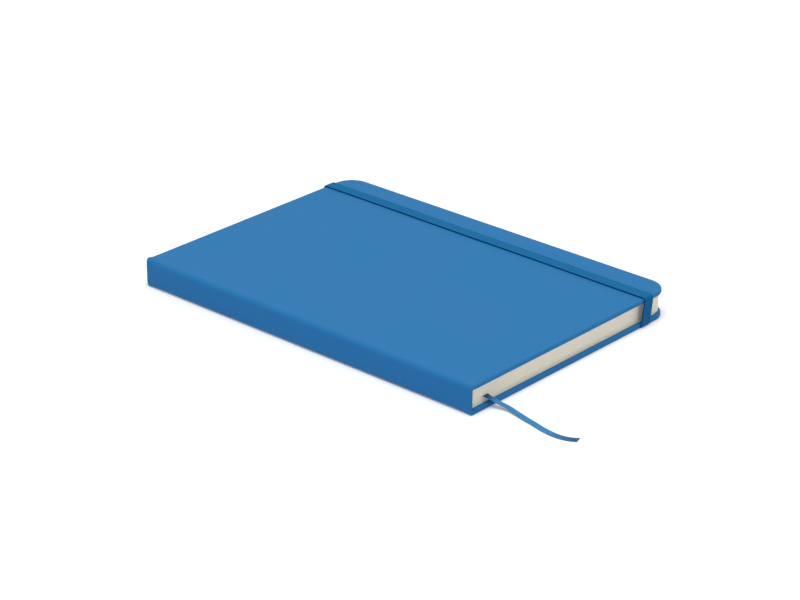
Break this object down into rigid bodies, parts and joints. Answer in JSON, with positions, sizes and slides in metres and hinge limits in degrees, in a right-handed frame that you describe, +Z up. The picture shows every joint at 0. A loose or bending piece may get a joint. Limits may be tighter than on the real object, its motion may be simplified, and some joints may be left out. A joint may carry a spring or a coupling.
{
  "type": "faux leather notebook",
  "caption": "Hardcover notebook with a soft faux leather cover, square spine, round fore-edge corners, elastic closure band and ribbon marker, lying closed.",
  "frame": {"origin": "middle of the back cover's outer face, on the table, without the free ribbon", "axes": "+X from the spine to the fore edge, +Y from the tail to the head, +Z up through the front cover"},
  "size_m": [0.148, 0.2614, 0.0154],
  "materials": {
    "faux_leather": "matte soft touch",
    "greyboard": "matte",
    "endpaper": "matte",
    "page_paper": "matte",
    "lining": "matte",
    "elastic": "woven",
    "ribbon": "satin"
  },
  "bodies": {
    "block": {"page_block": "page_paper", "front_flyleaf": "endpaper", "back_flyleaf": "endpaper", "spine_skin": "faux_leather", "spine_stiffener": "greyboard", "spine_lining": "lining", "ribbon_marker": "ribbon"},
    "front_cover": {"front_skin": "faux_leather", "front_board": "greyboard", "front_pastedown": "endpaper"},
    "back_cover": {"back_skin": "faux_leather", "back_board": "greyboard", "back_pastedown": "endpaper"},
    "band": {"elastic_band": "elastic"}
  },
  "joints": [
    {"name": "front_hinge", "type": "hinge", "parent": "block", "child": "front_cover", "pos_m": [-0.07275, 0, 0.01335], "axis": [0, -1, 0], "range_deg": [0, 180]},
    {"name": "back_hinge", "type": "hinge", "parent": "block", "child": "back_cover", "pos_m": [-0.07275, 0, 0.00125], "axis": [0, 1, 0], "range_deg": [0, 180]},
    {"name": "band_swing", "type": "hinge", "parent": "back_cover", "child": "band", "pos_m": [0.054, 0, 0.0004], "axis": [0, 1, 0], "range_deg": [0, 180], "deforming": ["elastic_band"]}
  ],
  "couplings": [
    {"joint": "band_swing", "follows": "front_hinge", "ratio": 1}
  ]
}
